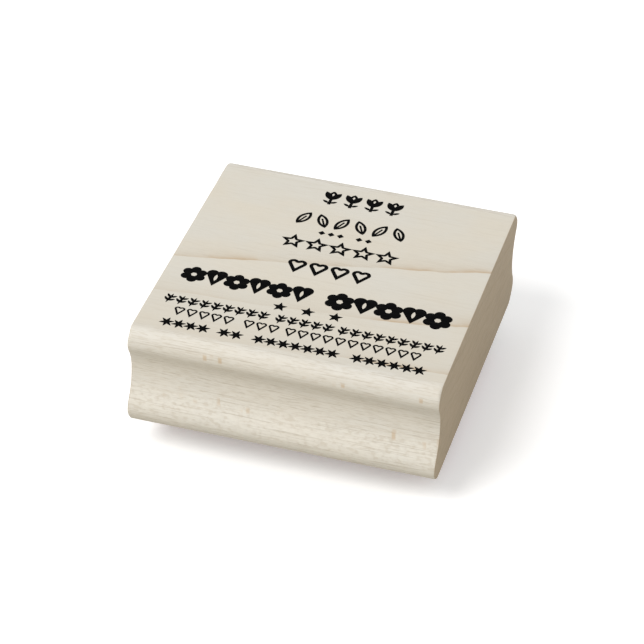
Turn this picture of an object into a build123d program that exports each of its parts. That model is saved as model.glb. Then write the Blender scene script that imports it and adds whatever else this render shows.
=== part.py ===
"""Wood-mounted rubber stamp: a maple block with finger grips, a foam cushion and a rubber die.

The frame is in millimetres. The origin is the centre of the printing face, which is the plane
that the stamp stands on. +Z points up through the block, X runs along the wood's grain and -Y
is the side that faces the hand when the ornament on the top reads the right way up.
From the bottom the stack is: rubber die, adhesive film, foam cushion, adhesive film, block.
"""

import os
from math import asin, cos, degrees, radians, sin, sqrt

from build123d import *

# The stack under the block
RELIEF_HEIGHT = 1.1  # raised ornament of the die
DIE_FLOOR = 1.3  # rubber sheet behind the relief
FILM = 0.1  # each double-sided adhesive film
CUSHION = 3.0
PAD_LENGTH, PAD_WIDTH = 47.6, 37.0  # outline that die, films and cushion are cut to
PAD_CORNER = 2.5

FLOOR_TOP = RELIEF_HEIGHT + DIE_FLOOR
CUSHION_BOTTOM = FLOOR_TOP + FILM
CUSHION_TOP = CUSHION_BOTTOM + CUSHION
BLOCK_BOTTOM = CUSHION_TOP + FILM

# The block: a moulded strip, cut to length across the grain
BLOCK_LENGTH = 50.8
BLOCK_HEIGHT = 18.2
LIP_HALF, LIP_RADIUS, LIP_DROP = 26.95, 2.6, 2.5  # rounded lip along the top
BASE_HALF, BASE_RADIUS, BASE_RISE = 27.3, 3.1, 3.0  # rounded foot along the bottom
NECK_HALF = 25.1  # narrowest place, in the finger grip
UNDERCUT, FLARE = 36.0, 36.5  # degrees from upright where the lip and the foot meet the cove
EDGE_SOFTENING = 0.8  # radius worked onto the four long edges
END_SOFTENING = 0.25  # sanded edges of the two sawn ends
BLOCK_TOP = BLOCK_BOTTOM + BLOCK_HEIGHT

# The printed ornament. The ink is soaked into the wood, flush with its top.
INK_DEPTH = 0.05
BOLD_LINE, LINE, FINE_LINE = 0.62, 0.46, 0.32  # widths of the drawn lines
ART_SHIFT = -5.7  # moves the picture rows from their place on the top to the middle of the die

# Rows of the picture. A row is at one Y. A group in it is a number of motifs, their pitch and its middle X.
TULIP_ROW, TULIP_GROUP, TULIP_SIZE = 20.25, (4, 3.62, 0), (3.3, 4.1)
LEAF_ROW, LEAF_GROUP, LEAF_SIZE = 13.05, (6, 3.28, 0), (4.15, 1.9)
DIAMOND_ROW, DIAMOND_GROUPS, DIAMOND_SIDE = 9.55, [(3, 1.6, -2.5), (2, 1.6, 3.1)], 0.85
STAR_ROW, STAR_GROUP, STAR_RADII = 5.8, (5, 4.0, 0), (2.15, 1.0)
HEART_ROW, HEART_GROUP, HEART_SIZE = -1.05, (4, 3.6, 0), (3.15, 3.7)
BOLD_ROW, BOLD_GROUPS, BOLD_HEIGHT = -8.55, [(6, 3.62, -11.35), (5, 4.05, 12.2)], 4.4
LEAF_LEAN = 24  # degrees, to either side in turn

# Rows of the border, in the same terms
SMALL_STAR_ROW, SMALL_STAR_GROUP, SMALL_STAR_RADII = -12.85, (3, 4.6, 0), (1.25, 0.55)
SPRIG_ROW, SPRIG_GROUPS, SPRIG_HEIGHT = -16.05, [(9, 1.95, -14.2), (5, 1.95, 0.4), (9, 1.95, 14.6)], 2.7
SMALL_HEART_ROW, SMALL_HEART_SIZE = -19.05, (1.75, 2.3)
SMALL_HEART_GROUPS = [(5, 2.04, -15.4), (3, 2.04, -5.9), (11, 2.04, 9.1)]
BURST_ROW, BURST_SIZE = -22.35, 2.5
BURST_GROUPS = [(4, 2.0, -17.4), (2, 2.0, -9.9), (7, 2.0, 0.8), (6, 2.0, 15.8)]
BORDER_LEAN = -12  # degrees


# ---- motifs, each a flat sketch centred on its own origin, with proportions of its size ----


def outlined(shape, line):
    """The band just inside a shape's edge."""
    with BuildSketch() as band:
        add(shape)
        offset(shape, amount=-line, kind=Kind.ARC, mode=Mode.SUBTRACT)
    return band.sketch


def heart(width, height):
    lobe = 0.29 * width
    aside = width / 2 - lobe
    middle = height / 2 - lobe
    reach = middle + height / 2  # from the point at the bottom up to the lobes' centres
    far = sqrt(reach**2 + aside**2)
    turn = asin(lobe / far) + asin(aside / far)
    run = sqrt(far**2 - lobe**2)
    touch = (run * sin(turn), -height / 2 + run * cos(turn))
    notch = middle + sqrt(lobe**2 - aside**2)
    with BuildSketch() as shape:
        with Locations((-aside, middle), (aside, middle)):
            Circle(lobe)
        with BuildLine():
            Polyline((0, -height / 2), touch, (0, notch), (-touch[0], touch[1]), close=True)
        make_face()
    return shape.sketch


def leaf(length, width, lean=0.0):
    """An upright pointed leaf, turned by lean degrees."""
    with BuildSketch(Plane.XY.rotated((0, 0, lean))) as shape:
        with BuildLine():
            ThreePointArc((0, -length / 2), (width / 2, 0), (0, length / 2))
            ThreePointArc((0, length / 2), (-width / 2, 0), (0, -length / 2))
        make_face()
    return shape.sketch


def veined_leaf(length, width, lean):
    """A leaf drawn as an outline with a midrib."""
    with BuildSketch() as shape:
        add(outlined(leaf(length, width), LINE))
        with Locations((0, -0.14 * length)):
            Rectangle(FINE_LINE, 0.62 * length)
    return shape.sketch.rotate(Axis.Z, lean)


def star(outer, inner):
    corners = []
    for step in range(10):
        radius = outer if step % 2 == 0 else inner
        corners.append((radius * sin(radians(36 * step)), radius * cos(radians(36 * step))))
    with BuildSketch() as shape:
        with BuildLine():
            Polyline(*corners, close=True)
        make_face()
    return shape.sketch


def tulip(width, height):
    """Three petals on a short stem with two small leaves."""
    petal = 0.64 * height
    foot = height / 2 - petal
    stem = height - 0.85 * petal  # runs a little way up into the petals
    spread = 30.0
    with BuildSketch() as shape:
        with Locations((0, foot + petal / 2)):
            add(outlined(leaf(petal, 0.44 * width), LINE))
        for side in (-1, 1):
            aside = side * petal / 2 * sin(radians(spread))
            with Locations((aside, foot + petal / 2 * cos(radians(spread)))):
                add(leaf(petal, 0.36 * width, -side * spread))
            with Locations((0.2 * side * width, -0.32 * height)):
                add(leaf(0.42 * width, 0.16 * width, -side * 2 * spread))
        with Locations((0, (stem - height) / 2)):
            Rectangle(0.16 * width, stem)
    return shape.sketch


def blossom(radius, petals):
    """A solid flower with a punched middle."""
    with BuildSketch() as shape:
        Circle(0.6 * radius)
        with PolarLocations(0.62 * radius, petals, start_angle=90):
            Circle(0.38 * radius)
        RegularPolygon(0.24 * radius, 6, mode=Mode.SUBTRACT)
    return shape.sketch


def slit_heart(width, height):
    """A solid heart with a slit down its middle."""
    with BuildSketch() as shape:
        add(heart(width, height))
        with Locations((0, 0.04 * height)):
            add(leaf(0.42 * height, 0.16 * width), mode=Mode.SUBTRACT)
    return shape.sketch


def burst(size, lean):
    """A small flower of three thin leaves that cross at its middle."""
    with BuildSketch() as shape:
        for turn in (0, 60, 120):
            add(leaf(size, 0.24 * size, turn + lean))
    return shape.sketch


def sprig(height, lean):
    """A thin stem with two pairs of leaflets."""
    with BuildSketch() as shape:
        add(leaf(height, 0.17 * height))
        for side in (-1, 1):
            with Locations((0.17 * side * height, -0.12 * height), (0.15 * side * height, 0.2 * height)):
                add(leaf(0.46 * height, 0.17 * height, -side * 48))
    return shape.sketch.rotate(Axis.Z, lean)


def along(y, *groups):
    """Centres of the motifs in a row at height y, made of groups of (number, pitch, middle)."""
    return [
        (middle + (i - (count - 1) / 2) * pitch, y) for count, pitch, middle in groups for i in range(count)
    ]


# ---- the picture: six rows, which the die prints and the top of the block shows ----

with BuildSketch() as picture:
    with Locations(*along(TULIP_ROW, TULIP_GROUP)):
        add(tulip(*TULIP_SIZE))
    for i, centre in enumerate(along(LEAF_ROW, LEAF_GROUP)):
        with Locations(centre):
            add(veined_leaf(*LEAF_SIZE, LEAF_LEAN if i % 2 else -LEAF_LEAN))
    with Locations(*along(DIAMOND_ROW, *DIAMOND_GROUPS)):
        Rectangle(DIAMOND_SIDE, DIAMOND_SIDE, rotation=45)
    with Locations(*along(STAR_ROW, STAR_GROUP)):
        add(outlined(star(*STAR_RADII), LINE))
    with Locations(*along(HEART_ROW, HEART_GROUP)):
        add(outlined(heart(*HEART_SIZE), BOLD_LINE))
    for group in BOLD_GROUPS:
        pitch = group[1]
        for i, centre in enumerate(along(BOLD_ROW, group)):  # flowers and hearts in turn
            with Locations(centre):
                add(slit_heart(0.96 * pitch, BOLD_HEIGHT) if i % 2 else blossom(0.6 * pitch, 6))

# ---- the border rows, which are printed on the top of the block only ----

with BuildSketch() as borders:
    with Locations(*along(SMALL_STAR_ROW, SMALL_STAR_GROUP)):
        add(star(*SMALL_STAR_RADII))
    with Locations(*along(SPRIG_ROW, *SPRIG_GROUPS)):
        add(sprig(SPRIG_HEIGHT, BORDER_LEAN))
    with Locations(*along(SMALL_HEART_ROW, *SMALL_HEART_GROUPS)):
        add(outlined(heart(*SMALL_HEART_SIZE), FINE_LINE))
    with Locations(*along(BURST_ROW, *BURST_GROUPS)):
        add(burst(BURST_SIZE, BORDER_LEAN))

# ---- rubber die: one moulded piece, a sheet with the picture raised on its underside ----

with BuildPart() as rubber_die:
    with BuildSketch(Plane.XY.offset(RELIEF_HEIGHT)):
        RectangleRounded(PAD_LENGTH, PAD_WIDTH, PAD_CORNER)
    extrude(amount=DIE_FLOOR)
    with BuildSketch(Plane.XY):
        with Locations((0, ART_SHIFT)):
            add(picture.sketch)
    extrude(amount=RELIEF_HEIGHT)

# ---- the two adhesive films and the cushion, all cut to the die's outline ----


def pad(bottom, thickness):
    with BuildPart() as layer:
        with BuildSketch(Plane.XY.offset(bottom)):
            RectangleRounded(PAD_LENGTH, PAD_WIDTH, PAD_CORNER)
        extrude(amount=thickness)
    return layer


die_adhesive = pad(FLOOR_TOP, FILM)
foam_cushion = pad(CUSHION_BOTTOM, CUSHION)
block_adhesive = pad(CUSHION_TOP, FILM)

# ---- printed ink, one thin solid for each motif ----

with BuildPart() as index_print:
    with BuildSketch(Plane.XY.offset(BLOCK_TOP)):
        add(picture.sketch)
        add(borders.sketch)
    extrude(amount=-INK_DEPTH)

# ---- wood block ----


def cove_radius(centre, radius, angle):
    """Radius of the hollow arc that touches the neck line and the bulge around centre."""
    return (centre[0] + radius * cos(radians(angle)) - NECK_HALF) / (1 - cos(radians(angle)))


lip = (LIP_HALF - LIP_RADIUS, BLOCK_TOP - LIP_DROP)
base = (BASE_HALF - BASE_RADIUS, BLOCK_BOTTOM + BASE_RISE)
lip_end = degrees(asin(LIP_DROP / LIP_RADIUS))  # where each bulge runs out at a flat face
base_end = degrees(asin(BASE_RISE / BASE_RADIUS))
under_lip = cove_radius(lip, LIP_RADIUS, UNDERCUT)
over_base = cove_radius(base, BASE_RADIUS, FLARE)
neck_top = lip[1] - (LIP_RADIUS + under_lip) * sin(radians(UNDERCUT))
neck_low = base[1] + (BASE_RADIUS + over_base) * sin(radians(FLARE))

with BuildPart() as wood_block:
    with BuildSketch(Plane.YZ):
        with BuildLine():
            lip_arc = CenterArc(lip, LIP_RADIUS, lip_end, -lip_end - UNDERCUT)
            CenterArc((NECK_HALF + under_lip, neck_top), under_lip, 180 - UNDERCUT, UNDERCUT)
            Line((NECK_HALF, neck_top), (NECK_HALF, neck_low))
            CenterArc((NECK_HALF + over_base, neck_low), over_base, 180, FLARE)
            base_arc = CenterArc(base, BASE_RADIUS, FLARE, -FLARE - base_end)
            Line(base_arc @ 1, (0, BLOCK_BOTTOM))
            Line((0, BLOCK_TOP), lip_arc @ 0)
            mirror(about=Plane.YZ)
        make_face()
    extrude(amount=BLOCK_LENGTH / 2, both=True)
    long_edges = edges().filter_by(Axis.X).group_by(Axis.Z)
    fillet(long_edges[0] + long_edges[-1], EDGE_SOFTENING)
    chamfer(faces().filter_by(Axis.X).edges(), END_SOFTENING)
    add(index_print.part, mode=Mode.SUBTRACT)

# ---- write one STEP file for each piece ----

os.makedirs("parts", exist_ok=True)
PIECES = {
    "wood_block": wood_block,
    "index_print": index_print,
    "block_adhesive": block_adhesive,
    "foam_cushion": foam_cushion,
    "die_adhesive": die_adhesive,
    "rubber_die": rubber_die,
}
for name, piece in PIECES.items():
    piece.part.label = name
    export_step(piece.part, f"parts/{name}.step")
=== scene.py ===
"""Looks of a wood-mounted rubber stamp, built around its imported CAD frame.

Pieces: the moulded maple block, the ink printed on its top, the two adhesive films, the foam
cushion and the red rubber die. Lengths are in metres, in the frame of the CAD model.
"""

import math

import bmesh
import bpy
import numpy as np
from mathutils import Matrix, Vector, noise
from mathutils.bvhtree import BVHTree
from mathutils.geometry import delaunay_2d_cdt


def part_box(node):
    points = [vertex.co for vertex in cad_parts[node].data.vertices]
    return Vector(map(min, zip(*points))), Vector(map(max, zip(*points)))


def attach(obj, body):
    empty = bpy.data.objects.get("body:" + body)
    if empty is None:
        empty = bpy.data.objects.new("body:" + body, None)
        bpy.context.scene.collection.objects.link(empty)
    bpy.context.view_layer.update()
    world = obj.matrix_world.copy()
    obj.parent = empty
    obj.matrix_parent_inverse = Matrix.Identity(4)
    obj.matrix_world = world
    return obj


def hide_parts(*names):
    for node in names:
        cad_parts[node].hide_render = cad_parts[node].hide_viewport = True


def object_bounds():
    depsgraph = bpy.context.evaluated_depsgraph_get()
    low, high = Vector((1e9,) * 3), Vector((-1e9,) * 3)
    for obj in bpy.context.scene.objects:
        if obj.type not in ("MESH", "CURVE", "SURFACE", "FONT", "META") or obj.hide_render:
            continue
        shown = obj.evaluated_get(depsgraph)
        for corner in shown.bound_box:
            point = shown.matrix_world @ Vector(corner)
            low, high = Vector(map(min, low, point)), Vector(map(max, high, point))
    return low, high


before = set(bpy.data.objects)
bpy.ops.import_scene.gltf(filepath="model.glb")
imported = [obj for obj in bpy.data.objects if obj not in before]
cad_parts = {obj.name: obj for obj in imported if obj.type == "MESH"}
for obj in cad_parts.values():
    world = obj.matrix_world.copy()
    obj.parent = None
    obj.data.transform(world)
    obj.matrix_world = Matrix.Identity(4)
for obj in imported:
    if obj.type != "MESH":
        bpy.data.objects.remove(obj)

CAD_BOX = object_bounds()
CAD_MIDDLE = (Vector(CAD_BOX[0]) + Vector(CAD_BOX[1])) / 2
MM = 0.001

BLOCK_LOW, BLOCK_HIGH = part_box("wood_block")
DIE_LOW, DIE_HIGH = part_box("rubber_die")
FOAM_LOW, FOAM_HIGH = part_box("foam_cushion")
INK_PROUD = 0.010 * MM  # the bare wood is this much lower than the ink, the block's highest level


# ---- meshes ------------------------------------------------------------------------------------

WELD = 0.0005 * MM  # the CAD mesh's points closer than this are one point
LEVEL_SLACK = 0.002 * MM  # how far a point may be from a flat face's level
NEARLY_FLAT = 0.9  # the least slope of a flat face's normal towards the side that it faces
INSIDE_WITH_HOLES = 2  # the kind of triangulation that keeps the holes open
MERGE = 1e-5  # in millimetres


def new_object(name, vertices, faces, sharp_degrees):
    """A smooth-shaded mesh object with outward normals, and with edges over an angle kept sharp."""
    mesh = bpy.data.meshes.new(name)
    mesh.from_pydata([tuple(v) for v in vertices], [], [tuple(int(i) for i in f) for f in faces])
    shape = bmesh.new()
    shape.from_mesh(mesh)
    bmesh.ops.recalc_face_normals(shape, faces=shape.faces)
    shape.to_mesh(mesh)
    shape.free()
    mesh.shade_smooth()
    mesh.set_sharp_from_angle(angle=math.radians(sharp_degrees))
    piece = bpy.data.objects.new(name, mesh)
    bpy.context.scene.collection.objects.link(piece)
    return piece


def stand_in(piece, node, material):
    """Makes a piece stand for a CAD node, with the node's place, material slot and looks."""
    piece.data.materials.append(material)
    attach(piece, "root")
    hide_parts(node)


def resample(chain, step):
    """Points at even distances along an open chain of points."""
    chain = np.asarray(chain, float)
    run = np.concatenate([[0], np.cumsum(np.linalg.norm(np.diff(chain, axis=0), axis=1))])
    count = max(2, round(run[-1] / step) + 1)
    spots = np.linspace(0, run[-1], count)
    return np.column_stack([np.interp(spots, run, chain[:, k]) for k in range(chain.shape[1])])


def split_long_edges(loop, step):
    """A closed loop with its own corners and more points between those that are far apart."""
    points = []
    for start, end in zip(loop, np.roll(loop, -1, axis=0)):
        parts = max(1, math.ceil(np.linalg.norm(end - start) / step))
        points += [start + (end - start) * i / parts for i in range(parts)]
    return np.array(points)


def outward(loop):
    """Unit normals of a closed flat loop, away from the material on its left."""
    along = np.roll(loop, -1, axis=0) - np.roll(loop, 1, axis=0)
    normals = np.column_stack([along[:, 1], -along[:, 0]])
    return normals / np.maximum(np.linalg.norm(normals, axis=1, keepdims=True), 1e-12)


def signed_area(loop):
    """Area inside a closed flat loop, negative where the loop turns clockwise."""
    ahead = np.roll(loop, -1, axis=0)
    return 0.5 * float(np.sum(loop[:, 0] * ahead[:, 1] - ahead[:, 0] * loop[:, 1]))


def flat_outlines(node, facing):
    """Closed XY outlines of a CAD node's lowest (facing -1) or highest (+1) flat faces.

    The material is on the left, so an outer edge turns anticlockwise and a hole clockwise."""
    shape = bmesh.new()
    shape.from_mesh(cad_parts[node].data)
    bmesh.ops.remove_doubles(shape, verts=shape.verts, dist=WELD)
    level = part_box(node)[1 if facing > 0 else 0].z
    on_level = {
        f for f in shape.faces
        if f.normal.z * facing > NEARLY_FLAT
        and all(abs(v.co.z - level) < LEVEL_SLACK for v in f.verts)
    }
    following = {}
    for face in on_level:
        for corner in face.loops:
            if sum(f in on_level for f in corner.edge.link_faces) == 1:
                following[corner.vert.index] = corner.link_loop_next.vert.index
    shape.verts.ensure_lookup_table()
    outlines = []
    while following:
        start = min(following)
        chain = [start]
        while following[chain[-1]] != start:
            chain.append(following.pop(chain[-1]))
        following.pop(chain[-1])
        loop = np.array([shape.verts[i].co.xy for i in chain], float)
        outlines.append(loop if facing > 0 else loop[::-1])
    shape.free()
    return outlines


def inside(point, loop):
    """Whether a point is inside a closed loop, by the crossings of a ray along +X."""
    ahead = np.roll(loop, -1, axis=0)
    crosses = (loop[:, 1] > point[1]) != (ahead[:, 1] > point[1])
    rise = np.where(crosses, ahead[:, 1] - loop[:, 1], 1.0)
    at_x = loop[:, 0] + (point[1] - loop[:, 1]) * (ahead[:, 0] - loop[:, 0]) / rise
    return bool(np.sum(crosses & (at_x > point[0])) % 2)


def islands(outlines):
    """Each outer outline with the holes that are in it."""
    groups = [[loop] for loop in outlines if signed_area(loop) > 0]
    for hole in (loop for loop in outlines if signed_area(loop) < 0):
        around = [g for g in groups if inside(hole[0], g[0])]
        min(around, key=lambda g: signed_area(g[0])).append(hole)
    return groups


def no_wobble(point):
    """For edges that stay where they are drawn."""
    return 0.0


def raised_pattern(name, outlines, levels, sharp_degrees, wobble=no_wobble):
    """A solid for each island of a flat pattern.

    levels is a list of (height, growth): at each height, every edge stands that far outwards.
    wobble is a function of a point that adds to the growth."""
    vertices, faces = [], []
    for group in islands(outlines):
        flat = np.vstack(group)
        normals = np.vstack([outward(loop) for loop in group])
        stray = np.array([wobble(p) for p in flat])[:, None]
        base, size = len(vertices), len(flat)
        for height, growth in levels:
            ring = flat + normals * (growth + stray)
            vertices += [(x, y, height) for x, y in ring]
        sides, borders, first = [], [], 0
        for loop in group:
            count = len(loop)
            borders.append(list(range(first, first + count)))
            sides += [(first + i, first + (i + 1) % count) for i in range(count)]
            first += count
        for level in range(len(levels) - 1):
            low, high = base + level * size, base + (level + 1) * size
            faces += [(low + a, low + b, high + b, high + a) for a, b in sides]
        _, _, triangles, origin, _, _ = delaunay_2d_cdt(
            [Vector(p) / MM for p in flat], [], borders, INSIDE_WITH_HOLES, MERGE)
        last = base + (len(levels) - 1) * size
        for triangle in triangles:
            corners = [origin[i][0] for i in triangle]
            faces.append([base + i for i in corners])
            faces.append([last + i for i in reversed(corners)])
    return new_object(name, vertices, faces, sharp_degrees)


# ---- materials ---------------------------------------------------------------------------------

# Sockets of a Mix node that mixes colours
MIX_AMOUNT, MIX_FIRST, MIX_SECOND, MIX_RESULT = 0, 6, 7, 2
NOISE_ROUGHNESS = 0.55


class Recipe:
    """A material under construction. Each method adds nodes and returns an output socket."""

    def __init__(self, name, roughness, specular):
        self.material = bpy.data.materials.new(name)
        self.material.use_nodes = True
        self.tree = self.material.node_tree
        self.shader = self.tree.nodes["Principled BSDF"]
        self.shader.inputs["Roughness"].default_value = roughness
        self.shader.inputs["Specular IOR Level"].default_value = specular
        place = self.tree.nodes.new("ShaderNodeTexCoord").outputs["Object"]
        self.place = self.scaled(place, (1 / MM, 1 / MM, 1 / MM))  # position in millimetres
        parts = self.add("ShaderNodeSeparateXYZ", {"Vector": self.place})
        self.x, self.y, self.z = (parts.outputs[axis] for axis in "XYZ")

    def add(self, kind, inputs, **settings):
        """A node, with each input set to a value or linked from a socket."""
        node = self.tree.nodes.new(kind)
        for key, value in settings.items():
            setattr(node, key, value)
        for key, value in inputs.items():
            if isinstance(value, bpy.types.NodeSocket):
                self.tree.links.new(value, node.inputs[key])
            else:
                node.inputs[key].default_value = value
        return node

    def math(self, operation, a, b=0.0, c=0.0):
        return self.add("ShaderNodeMath", {0: a, 1: b, 2: c}, operation=operation).outputs[0]

    def plus(self, a, b):
        return self.math("ADD", a, b)

    def times(self, a, b):
        return self.math("MULTIPLY", a, b)

    def times_plus(self, a, b, c):
        """a * b + c."""
        return self.math("MULTIPLY_ADD", a, b, c)

    def fading(self, distance, rate):
        """1 at distance 0, and fading to 0 at a rate."""
        return self.math("EXPONENT", self.times(distance, -rate))

    def away_from(self, value, level):
        return self.math("ABSOLUTE", self.math("SUBTRACT", value, level))

    def scaled(self, vector, factors):
        inputs = {0: vector, 1: factors}
        return self.add("ShaderNodeVectorMath", inputs, operation="MULTIPLY").outputs[0]

    def moved(self, vector, shift):
        inputs = {0: vector, 1: shift}
        return self.add("ShaderNodeVectorMath", inputs, operation="ADD").outputs[0]

    def noise(self, cell, detail=2.0, shift=(0, 0, 0)):
        """Smooth noise from 0 to 1, with blobs of about cell millimetres in X, Y and Z."""
        scaled = self.scaled(self.moved(self.place, shift), [1 / c for c in cell])
        inputs = {"Vector": scaled, "Scale": 1.0, "Detail": detail, "Roughness": NOISE_ROUGHNESS}
        return self.add("ShaderNodeTexNoise", inputs).outputs["Fac"]

    def voronoi(self, vector, **settings):
        """Distance to the middle of the nearest cell, and that cell's random value."""
        node = self.add("ShaderNodeTexVoronoi", {"Vector": vector, "Scale": 1.0}, **settings)
        random = self.add("ShaderNodeSeparateColor", {"Color": node.outputs["Color"]})
        return node.outputs["Distance"], random.outputs[0]

    def cells(self, size, shift=(0, 0, 0)):
        """Round cells of a size in millimetres."""
        return self.voronoi(self.scaled(self.moved(self.place, shift), (1 / size,) * 3))

    def upright_blocks(self, width, height, slant=0.37):
        """Rectangular cells on an upright side. The slant makes the two sides differ."""
        across = self.times_plus(self.y, slant, self.x)
        flat = self.add("ShaderNodeCombineXYZ", {"X": across, "Y": self.z}).outputs["Vector"]
        return self.voronoi(self.scaled(flat, (1 / width, 1 / height, 1)),
                            voronoi_dimensions="2D", distance="CHEBYCHEV")

    def random(self, value):
        """A random number from 0 to 1 for each whole number."""
        inputs = {"W": self.math("FLOOR", value)}
        return self.add("ShaderNodeTexWhiteNoise", inputs, noise_dimensions="1D").outputs["Value"]

    def between(self, value, low, high):
        """0 below low, 1 above high (or the other way round), and a smooth ramp between."""
        inputs = {"Value": value, "From Min": low, "From Max": high, "To Min": 0.0, "To Max": 1.0}
        ramp = self.add("ShaderNodeMapRange", inputs, interpolation_type="SMOOTHSTEP")
        return ramp.outputs["Result"]

    def remap(self, value, low, high):
        """A value from 0 to 1 spread from low to high."""
        return self.times_plus(value, high - low, low)

    def blend(self, amount, first, second, strength=None):
        """Colours mixed by an amount from 0 to 1, which a strength makes smaller."""
        if strength is not None:
            amount = self.times(amount, strength)
        node = self.add("ShaderNodeMix", {}, data_type="RGBA")
        self.tree.links.new(amount, node.inputs[MIX_AMOUNT])
        for index, colour in ((MIX_FIRST, first), (MIX_SECOND, second)):
            if isinstance(colour, bpy.types.NodeSocket):
                self.tree.links.new(colour, node.inputs[index])
            else:
                node.inputs[index].default_value = (*colour, 1.0)
        return node.outputs[MIX_RESULT]

    def finish(self, colour, roughness, height, depth):
        """Joins the shader to its colour, roughness and height. depth is the relief in metres."""
        self.tree.links.new(colour, self.shader.inputs["Base Color"])
        self.tree.links.new(roughness, self.shader.inputs["Roughness"])
        bump = self.add("ShaderNodeBump", {"Height": height, "Strength": 1.0, "Distance": depth})
        self.tree.links.new(bump.outputs["Normal"], self.shader.inputs["Normal"])
        return self.material


# The wood's colours
PALE_WOOD = (0.678, 0.649, 0.577)
WARM_WOOD = (0.688, 0.639, 0.543)
SIDE_HIGHLIGHT_WOOD = (0.722, 0.694, 0.634)  # painted highlight: the moulded sides are painted lighter than the top
# painted highlight, laid on the foot's bulge through the lighter scale centres
PAINTED_HIGHLIGHT_WOOD = (0.765, 0.735, 0.655)
SHADED_WOOD = (0.560, 0.500, 0.405)
LATE_WOOD = (0.500, 0.345, 0.190)
FLECK_WOOD = (0.520, 0.355, 0.190)
PORE_WOOD = (0.330, 0.270, 0.190)
END_WOOD = (0.450, 0.352, 0.228)
END_SHADE = (0.315, 0.237, 0.142)

# The wood's noise: size of the blobs along X, Y and Z in millimetres, detail, and shift
DRIFT = ((30, 9, 9), 1.5, (7, 3, 1))  # slow bends of the rings
WANDER = ((7, 3.0, 3.0), 3.0, (1, 9, 4))  # small ones
PATCHES = ((7, 5, 2.5), 2.0, (3, 5, 8))  # where the late wood is strong
CLOUD = ((16, 9, 7), 3.0, (2, 2, 9))
FIBRES = ((16, 0.55, 0.42), 3.0)
THREADS = ((4, 0.20, 0.18), 2.0, (4, 4, 4))
STRANDS = ((1.5, 0.30, 0.26), 2.0, (6, 2, 7))
DASHES = ((2.2, 0.17, 0.15), 1.0, (2, 6, 3))
VEINS = ((8, 0.20, 0.15), 1.0, (4, 1, 7))
RIPPLE = ((0.95, 0.60, 0.46), 1.0, (1, 4, 6))  # where the curved foot cuts through the fibres
FLECKED = ((4, 3, 3), 1.0, (9, 2, 2))  # where the rays show
RAYS = ((3, 0.22, 7.0), 2.0, (5, 5, 5))
STIPPLE = ((0.8, 0.11, 0.11), 2.0, (8, 1, 6))
LAYERS = ((3, 4.5, 0.42), 2.0, (3, 8, 5))
SAW_MARKS = ((3, 0.9, 14.0), 1.0, (1, 5, 2))

# Growth rings. The ring coordinate is the height in millimetres, tilted towards the back by
# RING_SLOPE and along the grain by RING_LEAN, to which BACK_LEAN is added over a range of Y
RING_SLOPE, RING_LEAN = 0.27, -0.022
BACK_LEAN, BACK_LEAN_RANGE = -0.040, (-14.6, -2.6)
# Ring number = RING_START + RING_FACTOR * (coordinate + RING_DEPTH) ** RING_POWER, which makes the
# rings wider towards the top. The last one runs out at the back of the block
RING_START, RING_FACTOR, RING_DEPTH, RING_POWER = 9.485, -230.0, 16.0, -0.9
LAST_RING = 0.97

# Places on the block, in millimetres. A range runs from none of its feature to all of it
GRIP_SLOPE, GRIP_RANGE = -0.6, (12.8, 14.0)  # of |Y| + slope * height, which tells side from top
FOOT_HEIGHT, FOOT_RANGE = 5.0, (3.0, 1.6)
LOW_FLECKS, LOW_FLECKS_RANGE = 7.1, (1.3, 0.7)
HIGH_FLECKS, HIGH_FLECKS_RANGE = 16.2, (0.8, 0.5)
FLECK_WIDTH, FLECK_HEIGHT = 1.25, 2.6
END_RANGE = (BLOCK_HIGH.x / MM - 0.16, BLOCK_HIGH.x / MM - 0.02)
WOOD_RELIEF = 0.02 * MM


def growth_rings(wood, height):
    """The ring coordinate, the number of the ring, and how far through that ring a point is."""
    towards_back = wood.times(wood.between(wood.y, *BACK_LEAN_RANGE), BACK_LEAN)
    lean = wood.times(wood.plus(towards_back, RING_LEAN), wood.x)
    radial = wood.plus(wood.times_plus(wood.y, RING_SLOPE, height), lean)
    radial = wood.plus(radial, wood.remap(wood.noise(*DRIFT), -0.14, 0.46))
    radial = wood.plus(radial, wood.remap(wood.noise(*WANDER), -0.16, 0.16))
    rings = wood.math("POWER", wood.plus(radial, RING_DEPTH), RING_POWER)
    rings = wood.times_plus(rings, RING_FACTOR, RING_START)
    rings = wood.math("MINIMUM", rings, LAST_RING)
    return radial, rings, wood.math("FRACT", rings)


def late_wood(wood, far_x, rings, phase, side):
    """A thin brown line with a sharp lower edge, and a veil that fades upwards from it."""
    patchy = wood.between(wood.noise(*PATCHES), 0.38, 0.60)
    outwards = wood.remap(wood.between(far_x, 4, 17), 0.35, 1.0)
    weight = wood.times(wood.remap(patchy, 0.35, 1.0), outwards)
    lower = wood.between(rings, 0.0, -0.02)  # the lower rings show only towards one end
    along = wood.remap(wood.between(wood.x, 4, 14), 0.22, 1.0)
    weight = wood.times(weight, wood.times_plus(lower, wood.math("SUBTRACT", along, 1.0), 1.0))
    weight = wood.times(weight, wood.remap(side, 1.0, 0.22))
    start = wood.between(phase, 0.0, 0.016)
    core = wood.times(wood.fading(phase, 55.0), 0.55)
    line = wood.times(wood.times_plus(wood.fading(phase, 18.0), 0.80, core), start)
    veil = wood.times(wood.fading(phase, 5.5), start)
    return wood.times(line, weight), wood.times(veil, wood.remap(side, 0.34, 0.14))


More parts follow.
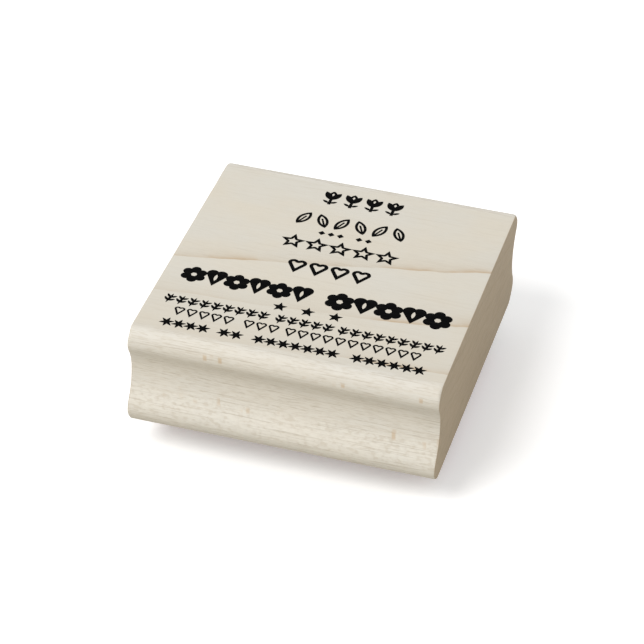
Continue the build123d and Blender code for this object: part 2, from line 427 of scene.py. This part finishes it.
def ray_flecks(wood, height, side):
    """Brown flecks in two bands, where the moulding cuts across the rays."""
    gap, chance = wood.upright_blocks(FLECK_WIDTH, FLECK_HEIGHT)
    fleck = wood.times(wood.between(gap, 0.36, 0.12), wood.between(chance, 0.45, 0.95))
    low_band = wood.between(wood.away_from(height, LOW_FLECKS), *LOW_FLECKS_RANGE)
    high_band = wood.between(wood.away_from(height, HIGH_FLECKS), *HIGH_FLECKS_RANGE)
    high_band = wood.times(high_band, wood.between(chance, 0.75, 1.0))
    flecks = wood.times(wood.times(fleck, wood.math("MAXIMUM", low_band, high_band)), side)
    return wood.times(flecks, wood.between(wood.noise(*FLECKED), 0.40, 0.62))


def maple():
    """Flat-sawn maple: the grain runs along X, and the growth rings lie nearly level."""
    wood = Recipe("maple", 0.62, 0.35)
    height = wood.math("SUBTRACT", wood.z, BLOCK_LOW.z / MM)
    far_x = wood.math("ABSOLUTE", wood.x)
    far_y = wood.math("ABSOLUTE", wood.y)
    end = wood.between(far_x, *END_RANGE)
    side = wood.between(wood.times_plus(height, GRIP_SLOPE, far_y), *GRIP_RANGE)
    foot = wood.times(wood.between(wood.away_from(height, FOOT_HEIGHT), *FOOT_RANGE), side)
    radial, rings, phase = growth_rings(wood, height)
    line, veil = late_wood(wood, far_x, rings, phase, side)
    flecks = ray_flecks(wood, height, side)

    # Fibres along the grain. The moulding cutter leaves them rougher on the grips than on the top
    cloud = wood.between(wood.noise(*CLOUD), 0.3, 0.7)
    fibres = wood.noise(*FIBRES)
    threads = wood.noise(*THREADS)
    strands = wood.between(wood.noise(*STRANDS), 0.46, 0.66)
    strands = wood.times(strands, wood.remap(side, 0.08, 0.38))
    strands = wood.times(strands, wood.remap(foot, 1.0, 0.40))

    # Fine dark dashes, which gather on some of the rings, longer veins, and scales on the foot,
    # whose lighter centres also carry a painted highlight on the foot's bulge
    gathered = wood.times(wood.fading(phase, 6.0), wood.between(wood.random(rings), 0.30, 0.60))
    dashes = wood.between(wood.noise(*DASHES), 0.57, 0.66)
    dashes = wood.times(dashes, wood.remap(gathered, 0.20, 1.0))
    dashes = wood.times(dashes, wood.remap(side, 0.30, 1.0))
    dashes = wood.times(dashes, wood.remap(foot, 1.0, 0.55))
    veins = wood.times(wood.between(wood.noise(*VEINS), 0.60, 0.68), wood.remap(side, 0.15, 1.0))
    ripple = wood.noise(*RIPPLE)
    scales = wood.times(wood.between(ripple, 0.47, 0.35), foot)
    scale_centres_and_highlight = wood.times(wood.between(ripple, 0.50, 0.62), foot)

    # Painted shade: darker where the ring coordinate is low, towards the front of the top, and
    # faintly on the grips
    front_shade = wood.times(wood.between(radial, 20.0, 11.5), wood.remap(side, 0.17, 0.05))
    colour = wood.blend(cloud, PALE_WOOD, WARM_WOOD)
    # Painted highlight: the grips are painted lighter than the top
    colour = wood.blend(side, colour, SIDE_HIGHLIGHT_WOOD, 0.5)
    colour = wood.blend(front_shade, colour, SHADED_WOOD)
    colour = wood.blend(veil, colour, SHADED_WOOD)
    colour = wood.blend(line, colour, LATE_WOOD)
    colour = wood.blend(wood.between(fibres, 0.50, 0.80), colour, SHADED_WOOD, 0.20)
    colour = wood.blend(wood.between(threads, 0.50, 0.78), colour, SHADED_WOOD, 0.11)
    colour = wood.blend(strands, colour, SHADED_WOOD)
    # Painted highlight on the foot's bulge, in the lighter centres of the scales
    colour = wood.blend(scale_centres_and_highlight, colour, PAINTED_HIGHLIGHT_WOOD, 0.34)
    colour = wood.blend(scales, colour, SHADED_WOOD, 0.42)
    colour = wood.blend(dashes, colour, PORE_WOOD, 0.52)
    colour = wood.blend(veins, colour, PORE_WOOD, 0.30)
    colour = wood.blend(flecks, colour, FLECK_WOOD, 0.52)

    # The sawn ends show the cut fibres: darker, with level streaks, fine stipple and saw marks
    rays = wood.noise(*RAYS)
    stipple = wood.noise(*STIPPLE)
    layers = wood.between(wood.noise(*LAYERS), 0.42, 0.70)
    grain = wood.times_plus(layers, 0.34, wood.times(line, 0.5))
    grain = wood.times_plus(wood.between(stipple, 0.45, 0.75), 0.30, grain)
    grain = wood.times_plus(wood.between(rays, 0.50, 0.75), 0.22, grain)
    colour = wood.blend(end, colour, wood.blend(grain, END_WOOD, END_SHADE), 0.92)

    relief = wood.times_plus(threads, 0.5, wood.times(dashes, -0.6))
    relief = wood.times_plus(fibres, 0.5, relief)
    relief = wood.times_plus(strands, -1.2, relief)
    sawn = wood.times_plus(rays, 0.6, wood.times(stipple, 1.2))
    sawn = wood.times_plus(wood.noise(*SAW_MARKS), 0.8, sawn)
    relief = wood.plus(relief, wood.times(sawn, end))
    return wood.finish(colour, wood.remap(fibres, 0.56, 0.70), relief, WOOD_RELIEF)


def printed_ink():
    """Dry black ink, a little thinner over the harder streaks of the grain."""
    full_ink, thin_ink = (0.0015, 0.0015, 0.0018), (0.016, 0.014, 0.012)
    ink = Recipe("printed_ink", 0.62, 0.03)
    streaks = ink.noise((5, 0.25, 0.25), 2.0, (4, 4, 4))
    grit = ink.noise((0.12, 0.12, 0.12))
    thin = ink.times(ink.between(streaks, 0.50, 0.85), ink.between(grit, 0.35, 0.75))
    colour = ink.blend(thin, full_ink, thin_ink)
    return ink.finish(colour, ink.remap(grit, 0.52, 0.72), grit, 0.004 * MM)


def adhesive():
    """Milky pressure-sensitive film, seen at its cut edges."""
    milky, clear, dust = (0.74, 0.72, 0.65), (0.58, 0.56, 0.49), (0.30, 0.27, 0.23)
    film = Recipe("adhesive_film", 0.32, 0.5)
    film.shader.inputs["Coat Weight"].default_value = 0.25
    haze = film.noise((1.4, 1.4, 0.05), 3.0)
    lint = film.between(film.noise((0.35, 0.35, 0.35), 2.0, (6, 1, 1)), 0.62, 0.74)
    colour = film.blend(haze, milky, clear)
    colour = film.blend(lint, colour, dust, 0.5)
    return film.finish(colour, film.remap(haze, 0.22, 0.48), haze, 0.01 * MM)


def closed_cell_foam():
    """Grey cushion foam with small round cells."""
    pale_wall, dark_wall = (0.285, 0.287, 0.295), (0.235, 0.238, 0.247)
    pit_shade, fine_pit_shade = (0.075, 0.076, 0.080), (0.10, 0.10, 0.11)
    foam = Recipe("closed_cell_foam", 0.85, 0.3)
    gap, chance = foam.cells(0.26)
    fine_gap, _ = foam.cells(0.12, (5, 5, 5))
    pit = foam.between(gap, 0.50, 0.16)
    fine_pit = foam.between(fine_gap, 0.45, 0.15)
    colour = foam.blend(chance, pale_wall, dark_wall)
    # The pits are darkened with painted shade, the larger ones more
    colour = foam.blend(pit, colour, pit_shade, 0.62)
    colour = foam.blend(fine_pit, colour, fine_pit_shade, 0.25)
    height = foam.times_plus(pit, -1.0, foam.times(fine_pit, -0.35))
    return foam.finish(colour, foam.remap(pit, 0.80, 0.95), height, 0.09 * MM)


def moulded_rubber():
    """Brick-red vulcanised rubber, with a faint bloom and the matrix board's fine texture."""
    deep_red, bright_red = (0.330, 0.036, 0.026), (0.415, 0.060, 0.044)
    bloom_red, stain = (0.50, 0.16, 0.13), (0.11, 0.018, 0.016)
    rubber = Recipe("moulded_rubber", 0.55, 0.45)
    rubber.shader.inputs["Sheen Weight"].default_value = 0.12
    clouds = rubber.noise((7, 7, 3), 4.0)
    grit = rubber.noise((0.16, 0.16, 0.16), 3.0, (2, 2, 2))
    bloom = rubber.between(rubber.noise((1.6, 1.6, 1.6), 3.0, (9, 4, 4)), 0.5, 0.8)
    face = rubber.between(rubber.z, 0.25, 0.05)  # the printing face is a little stained from use
    colour = rubber.blend(clouds, deep_red, bright_red)
    colour = rubber.blend(bloom, colour, bloom_red, 0.3)
    colour = rubber.blend(face, colour, stain, 0.45)
    return rubber.finish(colour, rubber.remap(grit, 0.46, 0.66), grit, 0.018 * MM)


# ---- wood block --------------------------------------------------------------------------------

SIDE_STEP = 0.36 * MM  # spacing of points round the moulding
FLAT_STEP = 0.50 * MM  # spacing of points across the top and the bottom
GRAIN_STEP = 0.55 * MM  # spacing along the grain
SECTION_INSET = 1.0 * MM  # how far from the block's end its section is read
SECTION_RAYS = 1600
SECTION_MARGIN = 0.002 * MM
ARRIS = 0.17 * MM  # mean radius sanded onto the edges of the sawn ends
ARRIS_STEPS = 5
ARRIS_UNEVEN, ARRIS_WAVE = 0.45, 4 * MM
END_SHIFT = 11.0  # makes the two ends differ
LIP_SANDING, FOOT_SANDING = 0.42 * MM, 0.20 * MM  # how much more is sanded off at the corners
CORNER_SPREAD = 1.3 * MM
SANDED_REACH = 1.6 * ARRIS + LIP_SANDING  # more than the largest radius


def moulded_side():
    """The grip's section as points (y, z) from the bottom edge to the top edge, on the +Y side."""
    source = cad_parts["wood_block"].data
    tree = BVHTree.FromPolygons([v.co for v in source.vertices],
                                [p.vertices[:] for p in source.polygons])
    section_x = BLOCK_HIGH.x - SECTION_INSET
    chain = []
    for z in np.linspace(BLOCK_LOW.z + SECTION_MARGIN, BLOCK_HIGH.z - SECTION_MARGIN, SECTION_RAYS):
        hit = tree.ray_cast(Vector((section_x, 2 * BLOCK_HIGH.y, z)), Vector((0, -1, 0)))[0]
        chain.append((hit.y, z))
    side = resample(chain, SIDE_STEP)
    for _ in range(2):  # rounds off the facets of the CAD mesh
        side[1:-1] = 0.5 * side[1:-1] + 0.25 * (side[:-2] + side[2:])
    side[0, 1], side[-1, 1] = BLOCK_LOW.z, BLOCK_HIGH.z - INK_PROUD
    side[:, 0] *= BLOCK_HIGH.y / side[:, 0].max()
    return side


def coons_grid(bottom, top, left, right):
    """Rows of points that fill the patch between four chains of points."""
    u = np.linspace(0, 1, len(bottom))[None, :, None]
    v = np.linspace(0, 1, len(left))[:, None, None]
    across = (1 - v) * bottom[None] + v * top[None]
    up = (1 - u) * left[:, None] + u * right[:, None]
    corners = ((1 - u) * (1 - v) * bottom[0] + u * (1 - v) * bottom[-1]
               + (1 - u) * v * top[0] + u * v * top[-1])
    return across + up - corners


def block_section(side):
    """The block's whole section as a closed ring, and the number of steps across its flat top."""
    across = round(2 * side[0, 0] / FLAT_STEP)
    floor, roof = (
        np.column_stack([np.linspace(-y, y, across + 1), np.full(across + 1, z)])
        for y, z in (side[0], side[-1])
    )
    mirrored = side * (-1, 1)
    return np.vstack([floor[:-1], side[:-1], roof[::-1][:-1], mirrored[::-1][:-1]]), across


def sanding(ring, side, end):
    """Radius of the sanded edge at each point of the ring: uneven, and larger at the corners."""
    shift = END_SHIFT * end
    wave = [noise.noise(Vector((y / ARRIS_WAVE, z / ARRIS_WAVE, shift))) for y, z in ring]
    radius = ARRIS * (1 + ARRIS_UNEVEN * np.array(wave))
    lip_corner = side[np.argmax(side[:, 0] + side[:, 1])]
    foot_corner = side[np.argmax(side[:, 0] - side[:, 1])]
    one_side = np.column_stack([np.abs(ring[:, 0]), ring[:, 1]])
    for corner, growth in ((lip_corner, LIP_SANDING), (foot_corner, FOOT_SANDING)):
        away = np.linalg.norm(one_side - corner, axis=1)
        radius += growth * np.exp(-(away / CORNER_SPREAD) ** 2)
    return radius


def sanded_end(ring, side, end):
    """Sections of the rounded edge at an end (-1 or 1), as (x, points), outwards."""
    normals = outward(ring)
    radius = sanding(ring, side, end)
    made = []
    for step in range(ARRIS_STEPS + 1):
        angle = math.pi / 2 * step / ARRIS_STEPS
        x = end * (BLOCK_HIGH.x - radius * (1 - math.sin(angle)))
        made.append((x, ring - normals * (radius * (1 - math.cos(angle)))[:, None]))
    return made


def close_end(vertices, faces, first, ring, rise, across, end):
    """Fills a sawn end with a grid whose border is the ring that starts at vertex first."""
    low_edge = np.arange(across + 1)
    right_edge = np.arange(across, across + rise + 1)
    high_edge = np.arange(2 * across + rise, across + rise - 1, -1)
    left_edge = np.arange(2 * (across + rise), 2 * across + rise - 1, -1) % len(ring)
    grid = coons_grid(ring[low_edge], ring[high_edge], ring[left_edge], ring[right_edge])
    index = np.full((rise + 1, across + 1), -1)
    index[0], index[-1], index[:, 0], index[:, -1] = low_edge, high_edge, left_edge, right_edge
    index = np.where(index >= 0, index + first, -1)
    for row in range(1, rise):
        for column in range(1, across):
            index[row, column] = len(vertices)
            vertices.append((end * BLOCK_HIGH.x, *grid[row, column]))
    for row in range(rise):
        for column in range(across):
            faces.append((index[row, column], index[row, column + 1],
                          index[row + 1, column + 1], index[row + 1, column]))


def wood_block():
    side = moulded_side()
    ring, across = block_section(side)
    rise, size = len(side) - 1, len(ring)
    straight = BLOCK_HIGH.x - SANDED_REACH
    columns = round(2 * straight / GRAIN_STEP)
    stations = [(np.full(size, x), ring) for x in np.linspace(-straight, straight, columns + 1)]
    stations = sanded_end(ring, side, -1)[::-1] + stations + sanded_end(ring, side, 1)
    vertices = [(x, y, z) for xs, points in stations for x, (y, z) in zip(xs, points)]
    faces = []
    for station in range(len(stations) - 1):
        low, high = station * size, (station + 1) * size
        faces += [(low + i, low + (i + 1) % size, high + (i + 1) % size, high + i)
                  for i in range(size)]
    for station, end in ((0, -1), (len(stations) - 1, 1)):
        close_end(vertices, faces, station * size, stations[station][1], rise, across, end)
    block = new_object("maple_block", vertices, faces, sharp_degrees=60)
    stand_in(block, "wood_block", maple())


# ---- printed ink -------------------------------------------------------------------------------

INK_STEP = 0.12 * MM
INK_EDGE = 0.010 * MM  # how far the ink's top edge is drawn in
BLEED, BLEED_UNEVEN = 0.012 * MM, 0.020 * MM
BLEED_CELL = (0.5 * MM, 0.16 * MM)  # longer along the grain


def ink_bleed(point):
    """How far the ink has crept past its drawn edge, which varies along the grain."""
    spot = Vector((point[0] / BLEED_CELL[0], point[1] / BLEED_CELL[1], 0.0))
    return BLEED + BLEED_UNEVEN * noise.noise(spot)


def index_print():
    outlines = [split_long_edges(loop, INK_STEP) for loop in flat_outlines("index_print", 1)]
    top = BLOCK_HIGH.z
    levels = [(top, -INK_EDGE), (top - 0.4 * INK_PROUD, 0.0), (top - 4 * INK_PROUD, 0.0)]
    ink = raised_pattern("ink_ornament", outlines, levels, sharp_degrees=50, wobble=ink_bleed)
    stand_in(ink, "index_print", printed_ink())


# ---- die, films and cushion --------------------------------------------------------------------

DIE_FLOOR = 1.3 * MM  # the sheet behind the relief
SHEET_STEP, RELIEF_STEP = 0.5 * MM, 0.16 * MM
SHEET_EDGE = 0.08 * MM  # rounding of the sheet's lower edge
KNIFE_INSET, KNIFE_UNEVEN, KNIFE_WAVE = 0.06 * MM, 0.05 * MM, 6 * MM
# The relief's section: height over the printing face, and growth. The shoulders spread to the sheet
RELIEF_SECTION = [(0.0, -0.045 * MM), (0.015 * MM, -0.012 * MM), (0.05 * MM, 0.0),
                  (0.45 * MM, 0.015 * MM), (0.85 * MM, 0.045 * MM)]
RELIEF_ROOT = 0.095 * MM  # growth where the relief meets the sheet
ROOT_DEPTH = 0.1 * MM  # how far it goes into the sheet

FOAM_STEP = 0.22 * MM
FOAM_LAYERS = 24
FOAM_INSET, FOAM_BOW = 0.12 * MM, 0.10 * MM
PIT_CELL, PIT_REACH, PIT_DEPTH = 0.42 * MM, 0.36, 0.09 * MM
FOAM_SKIN = 0.05 * MM  # no pits this near the films


def knife(point):
    """The hand-cut edge of the sheet strays a little."""
    spot = Vector((point[0] / KNIFE_WAVE, point[1] / KNIFE_WAVE, 2.0))
    return -KNIFE_INSET + KNIFE_UNEVEN * noise.noise(spot)


def rubber_die():
    """The sheet, and the relief that is moulded with it."""
    material = moulded_rubber()
    bottom = DIE_HIGH.z - DIE_FLOOR
    outline = split_long_edges(flat_outlines("rubber_die", 1)[0], SHEET_STEP)
    levels = [(DIE_HIGH.z, 0.0), (bottom + SHEET_EDGE, 0.0),
              (bottom + 0.3 * SHEET_EDGE, -0.3 * SHEET_EDGE), (bottom, -SHEET_EDGE)]
    sheet = raised_pattern("die_sheet", [outline], levels, sharp_degrees=50, wobble=knife)

    drawn = [split_long_edges(loop, RELIEF_STEP) for loop in flat_outlines("rubber_die", -1)]
    levels = [(DIE_LOW.z + rise, growth) for rise, growth in RELIEF_SECTION]
    levels += [(bottom, RELIEF_ROOT), (bottom + ROOT_DEPTH, RELIEF_ROOT)]
    relief = raised_pattern("die_relief", drawn, levels, sharp_degrees=50)
    for piece in (sheet, relief):
        stand_in(piece, "rubber_die", material)


def foam_cushion():
    """Die-cut foam: the sides bow out a little between the two films and show open cells."""
    outline = split_long_edges(flat_outlines("foam_cushion", 1)[0], FOAM_STEP)
    levels = []
    for share in (step / FOAM_LAYERS for step in range(FOAM_LAYERS + 1)):
        height = FOAM_HIGH.z + (FOAM_LOW.z - FOAM_HIGH.z) * share
        levels.append((height, FOAM_BOW * math.sin(math.pi * share) - FOAM_INSET))
    foam = raised_pattern("foam_layer", [outline], levels, sharp_degrees=80)
    for vertex in foam.data.vertices:
        x, y, z = vertex.co
        if FOAM_LOW.z + FOAM_SKIN < z < FOAM_HIGH.z - FOAM_SKIN:
            distance = noise.voronoi(vertex.co / PIT_CELL)[0][0]
            pit = max(0.0, PIT_REACH - distance) / PIT_REACH
            vertex.co -= Vector((x, y, 0)).normalized() * PIT_DEPTH * pit
    stand_in(foam, "foam_cushion", closed_cell_foam())


def adhesive_films():
    """The films keep their CAD meshes and get a material of their own."""
    material = adhesive()
    for name in ("block_adhesive", "die_adhesive"):
        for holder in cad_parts[name].material_slots:
            holder.link = "OBJECT"
            holder.material = material


wood_block()
index_print()
rubber_die()
foam_cushion()
adhesive_films()


# ---- stage, lights and camera ------------------------------------------------------------------

FLOOR_REACH = 3.0
WHITE_FLOOR, FLOOR_GLOW = (0.95, 0.95, 0.95), 0.28
WARM_TABLE, TABLE_DROP = (0.58, 0.55, 0.48), 0.02 * MM
KEY_PLACE, KEY_SIZE, KEY_POWER = (-0.46, -0.70, 0.99), 0.64, 9.75
KEY_COLOUR = (1.0, 0.99, 0.975)
SKY = 0.64  # strength of the even light from all round

AZIMUTH, ELEVATION, ROLL = (math.radians(a) for a in (14.923, 35.698, 2.054))
DISTANCE = 459.49 * MM
LENS, SENSOR = 155.50, 36.0  # in millimetres
AIM_SHIFT = Vector((-1.045, 0.271, 0.753)) * MM  # from the stamp's middle to the view's middle
NEAREST, FURTHEST = 0.01, 20.0


def floor_sheet(name, level, paint, glow=0.0):
    mesh = bpy.data.meshes.new(name)
    corners = [(-FLOOR_REACH, -FLOOR_REACH), (FLOOR_REACH, -FLOOR_REACH),
               (FLOOR_REACH, FLOOR_REACH), (-FLOOR_REACH, FLOOR_REACH)]
    mesh.from_pydata([(x, y, level) for x, y in corners], [], [(0, 1, 2, 3)])
    sheet = bpy.data.objects.new(name, mesh)
    bpy.context.scene.collection.objects.link(sheet)
    recipe = Recipe(name + "_paint", 0.9, 0.1)
    recipe.shader.inputs["Base Color"].default_value = (*paint, 1)
    recipe.shader.inputs["Emission Color"].default_value = (1, 1, 1, 1)
    recipe.shader.inputs["Emission Strength"].default_value = glow
    mesh.materials.append(recipe.material)
    return sheet


def stage():
    """A plain white floor, lit a little from within, as a photographer's light table is.

    The table just under it is what throws light back up at the stamp."""
    white = floor_sheet("floor", 0.0, WHITE_FLOOR, FLOOR_GLOW)
    white.visible_diffuse = False
    white.visible_shadow = False
    floor_sheet("table", -TABLE_DROP, WARM_TABLE)


def lights():
    """One large soft lamp at the front left, and even light from all round."""
    data = bpy.data.lights.new("key", "AREA")
    data.shape, data.size, data.energy, data.color = "DISK", KEY_SIZE, KEY_POWER, KEY_COLOUR
    lamp = bpy.data.objects.new("key", data)
    lamp.location = KEY_PLACE
    lamp.rotation_euler = (CAD_MIDDLE - Vector(KEY_PLACE)).to_track_quat("-Z", "Y").to_euler()
    bpy.context.scene.collection.objects.link(lamp)
    world = bpy.data.worlds.new("studio")
    world.use_nodes = True
    background = world.node_tree.nodes["Background"]
    background.inputs["Color"].default_value = (1.0, 1.0, 1.0, 1)
    background.inputs["Strength"].default_value = SKY
    bpy.context.scene.world = world
    bpy.context.scene.view_settings.view_transform = "Standard"


def camera():
    """The reference view: from the front, a little to the right, and above."""
    backwards = Vector((math.sin(AZIMUTH) * math.cos(ELEVATION),
                        -math.cos(AZIMUTH) * math.cos(ELEVATION), math.sin(ELEVATION)))
    level = Vector((math.cos(AZIMUTH), math.sin(AZIMUTH), 0))
    upwards = backwards.cross(level)
    right = math.cos(ROLL) * level + math.sin(ROLL) * upwards
    up = -math.sin(ROLL) * level + math.cos(ROLL) * upwards
    data = bpy.data.cameras.new("camera")
    data.lens, data.sensor_width = LENS, SENSOR
    data.clip_start, data.clip_end = NEAREST, FURTHEST
    eye = bpy.data.objects.new("camera", data)
    place = CAD_MIDDLE + AIM_SHIFT + backwards * DISTANCE
    turn = Matrix((right, up, backwards)).transposed().to_4x4()
    eye.matrix_world = Matrix.Translation(place) @ turn
    bpy.context.scene.collection.objects.link(eye)
    bpy.context.scene.camera = eye


stage()
lights()
camera()
